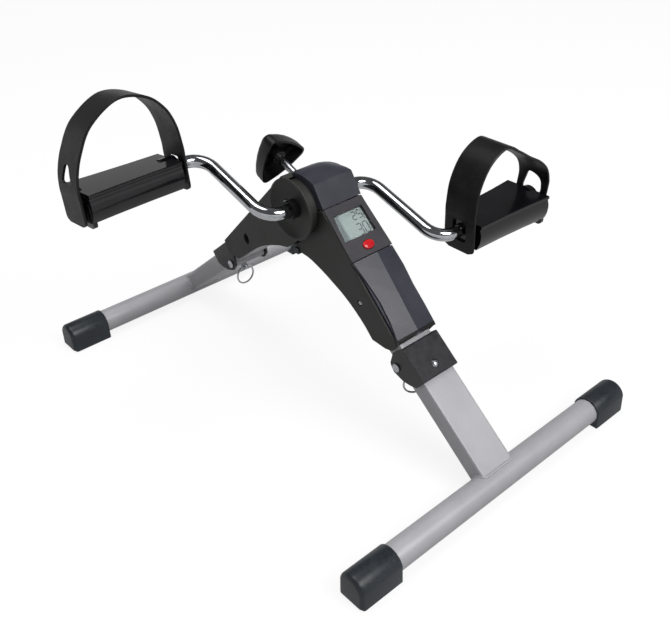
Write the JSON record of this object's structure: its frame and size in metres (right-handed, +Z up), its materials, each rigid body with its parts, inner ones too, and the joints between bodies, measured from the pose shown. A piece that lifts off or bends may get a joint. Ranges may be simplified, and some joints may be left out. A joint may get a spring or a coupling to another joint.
{
  "type": "folding pedal exerciser",
  "caption": "Folding pedal exerciser: arched housing with a counter display on a tube frame, bent crank with strapped pedals, screw brake knob and folding legs with pull pins.",
  "frame": {"origin": "on the floor, at the middle of the base, below the crank centre", "axes": "+X from the rear leg to the front leg under the display, +Y from the left pedal to the right pedal, +Z up"},
  "size_m": [0.504, 0.408, 0.3302],
  "materials": {
    "steel_paint": "satin silver-grey paint",
    "black_paint": "satin black paint",
    "shell_plastic": "fine grain",
    "cover_plastic": "fine grain",
    "cap_plastic": "smooth",
    "pedal_plastic": "semi-gloss",
    "strap_rubber": "matt",
    "chrome": "polished",
    "red_plastic": "gloss",
    "lcd": "smooth",
    "clear_plastic": "clear",
    "board": "solder mask",
    "felt": "pressed felt"
  },
  "bodies": {
    "frame": {"main_frame": "steel_paint", "left_rear_shell": "shell_plastic", "right_rear_shell": "shell_plastic", "left_front_shell": "shell_plastic", "right_front_shell": "shell_plastic", "top_cover": "cover_plastic", "display_case": "cover_plastic", "front_cover": "cover_plastic", "lcd_panel": "lcd", "display_lens": "clear_plastic", "circuit_board": "board", "battery": "chrome", "speed_sensor": "cap_plastic", "housing_clip": "cap_plastic", "left_hub_bush": "cap_plastic", "right_hub_bush": "cap_plastic", "left_hub_screw_1": "chrome", "left_hub_screw_2": "chrome", "right_hub_screw_1": "chrome", "right_hub_screw_2": "chrome", "left_front_screw": "chrome", "right_front_screw": "chrome", "left_rear_screw": "chrome", "right_rear_screw": "chrome"},
    "crank": {"crank": "chrome", "brake_collar": "steel_paint", "sensor_magnet": "steel_paint", "left_hub_washer": "chrome", "right_hub_washer": "chrome"},
    "left_pedal": {"left_pedal": "pedal_plastic", "left_strap": "strap_rubber", "left_axle_nut": "chrome"},
    "right_pedal": {"right_pedal": "pedal_plastic", "right_strap": "strap_rubber", "right_axle_nut": "chrome"},
    "front_leg": {"front_bracket": "black_paint", "front_leg_tube": "steel_paint", "front_crossbar": "steel_paint", "front_hinge_bolt": "chrome", "front_left_cap": "cap_plastic", "front_right_cap": "cap_plastic"},
    "rear_leg": {"rear_bracket": "black_paint", "rear_leg_tube": "steel_paint", "rear_crossbar": "steel_paint", "rear_hinge_bolt": "chrome", "rear_left_cap": "cap_plastic", "rear_right_cap": "cap_plastic"},
    "front_pin": {"front_lock_pin": "chrome"},
    "rear_pin": {"rear_lock_pin": "chrome"},
    "front_ring": {"front_pull_ring": "chrome"},
    "rear_ring": {"rear_pull_ring": "chrome"},
    "brake": {"brake_shoe": "steel_paint", "brake_pad": "felt"},
    "knob": {"tension_knob": "cap_plastic", "tension_screw": "chrome"},
    "button": {"reset_button": "red_plastic"}
  },
  "joints": [
    {"name": "crank_spin", "type": "hinge", "parent": "frame", "child": "crank", "pos_m": [0, 0, 0.212], "axis": [0, 1, 0], "continuous": true},
    {"name": "left_pedal_spin", "type": "hinge", "parent": "crank", "child": "left_pedal", "pos_m": [-0.09919, 0, 0.24327], "axis": [0, 1, 0], "continuous": true},
    {"name": "right_pedal_spin", "type": "hinge", "parent": "crank", "child": "right_pedal", "pos_m": [0.09919, 0, 0.18073], "axis": [0, 1, 0], "continuous": true},
    {"name": "front_leg_fold", "type": "hinge", "parent": "frame", "child": "front_leg", "pos_m": [0.12955, 0, 0.09191], "axis": [0, 1, 0], "range_deg": [0, 100]},
    {"name": "rear_leg_fold", "type": "hinge", "parent": "frame", "child": "rear_leg", "pos_m": [-0.12955, 0, 0.09191], "axis": [0, -1, 0], "range_deg": [0, 100]},
    {"name": "front_pin_pull", "type": "slide", "parent": "front_leg", "child": "front_pin", "axis": [-0.6394, 0, -0.7689], "range_m": [0, 0.024]},
    {"name": "rear_pin_pull", "type": "slide", "parent": "rear_leg", "child": "rear_pin", "axis": [0.6394, 0, -0.7689], "range_m": [0, 0.024]},
    {"name": "front_ring_swing", "type": "hinge", "parent": "front_pin", "child": "front_ring", "pos_m": [0.13684, 0, 0.07675], "axis": [0.441, 0.8192, -0.3667], "range_deg": [-25, 25]},
    {"name": "rear_ring_swing", "type": "hinge", "parent": "rear_pin", "child": "rear_ring", "pos_m": [-0.13684, 0, 0.07675], "axis": [0, 1, 0], "range_deg": [-40, 40]},
    {"name": "tension_slide", "type": "slide", "parent": "frame", "child": "brake", "axis": [-0.9304, 0, 0.3665], "range_m": [0, 0.0045]},
    {"name": "knob_turn", "type": "hinge", "parent": "brake", "child": "knob", "pos_m": [0, 0, 0.212], "axis": [-0.9304, 0, 0.3665], "range_deg": [0, 1080]},
    {"name": "reset_button_press", "type": "slide", "parent": "frame", "child": "button", "axis": [-0.6844, 0, -0.7291], "range_m": [0, 0.001], "stiffness_N_per_m": 300}
  ],
  "couplings": [
    {"joint": "tension_slide", "follows": "knob_turn", "m_per_rad": 0.00023873}
  ]
}
